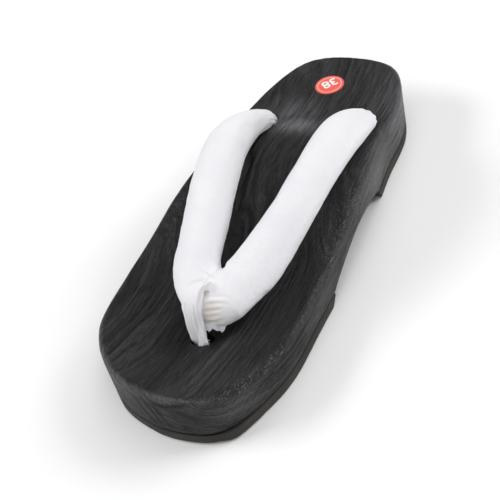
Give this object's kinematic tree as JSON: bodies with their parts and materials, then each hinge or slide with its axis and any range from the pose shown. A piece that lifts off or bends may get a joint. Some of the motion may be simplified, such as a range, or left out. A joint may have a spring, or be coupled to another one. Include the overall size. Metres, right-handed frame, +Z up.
{
  "type": "geta sandal",
  "caption": "Right-foot geta sandal: contoured wooden board with raised heel seat and carved arch, padded V strap with a toe loop, and rubber pads under heel and forefoot.",
  "frame": {"origin": "middle of the footprint's bounding box, on the floor", "axes": "+X to the toe, +Y to the inner side of the foot, +Z up"},
  "size_m": [0.2448, 0.0946, 0.0516],
  "materials": {
    "stained_wood": "black stain over brushed open grain, low sheen",
    "sole_rubber": "matte moulded rubber",
    "strap_cloth": "matte fine plain-weave cotton over soft padding",
    "thong_cloth": "matte fine plain-weave cotton, folded"
  },
  "bodies": {
    "root": {"board": "stained_wood", "forefoot_rubber": "sole_rubber", "heel_rubber": "sole_rubber", "strap": "strap_cloth", "front_thong": "thong_cloth"}
  },
  "joints": []
}
